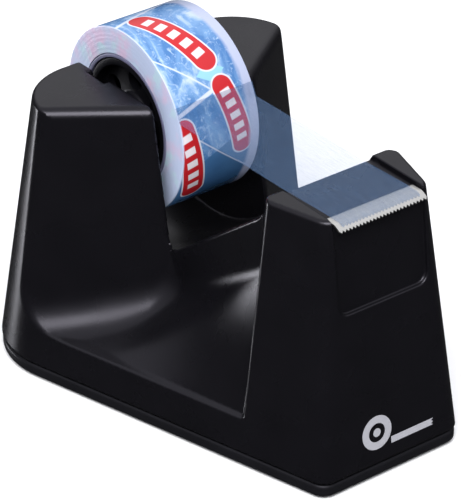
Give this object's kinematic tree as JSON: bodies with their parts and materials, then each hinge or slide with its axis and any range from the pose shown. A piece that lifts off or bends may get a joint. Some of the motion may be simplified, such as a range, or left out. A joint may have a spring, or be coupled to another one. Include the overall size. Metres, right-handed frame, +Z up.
{
  "type": "tape dispenser",
  "caption": "Desktop tape dispenser: wedge-shaped housing with a roll pocket between two cheeks, a lift-out axle and hub, a toothed blade on the front tower and an anti-slip pad.",
  "frame": {"origin": "middle of the object's outline on the desk surface, at the underside of the pad", "axes": "+Z up, +Y from the blade towards the roll, +X across, so the blade faces -Y"},
  "size_m": [0.0746, 0.0936, 0.0685],
  "materials": {
    "housing": "satin moulded",
    "base": "satin moulded",
    "pad": "matt foam",
    "ballast": "phosphated",
    "screw": "zinc plated",
    "blade": "brushed",
    "axle": "ground",
    "hub": "moulded",
    "core": "smooth",
    "tape": "glossy film",
    "film": "clear glossy film"
  },
  "bodies": {
    "housing": {"housing_shell": "housing", "base_plate": "base", "anti_slip_pad": "pad", "ballast_plate": "ballast", "base_screw_1": "screw", "base_screw_2": "screw", "base_screw_3": "screw", "base_screw_4": "screw", "cutting_blade": "blade"},
    "axle": {"axle_pin": "axle", "tape_leader": "film"},
    "roll": {"hub_left": "hub", "hub_right": "hub", "tape_core": "core", "tape_winding": "tape"}
  },
  "joints": [
    {"name": "axle_lift", "type": "slide", "parent": "housing", "child": "axle", "axis": [0, 0.4115, 0.9114], "range_m": [0, 0.04]},
    {"name": "roll_spin", "type": "hinge", "parent": "axle", "child": "roll", "pos_m": [0, 0.0273, 0.049], "axis": [1, 0, 0], "continuous": true}
  ]
}
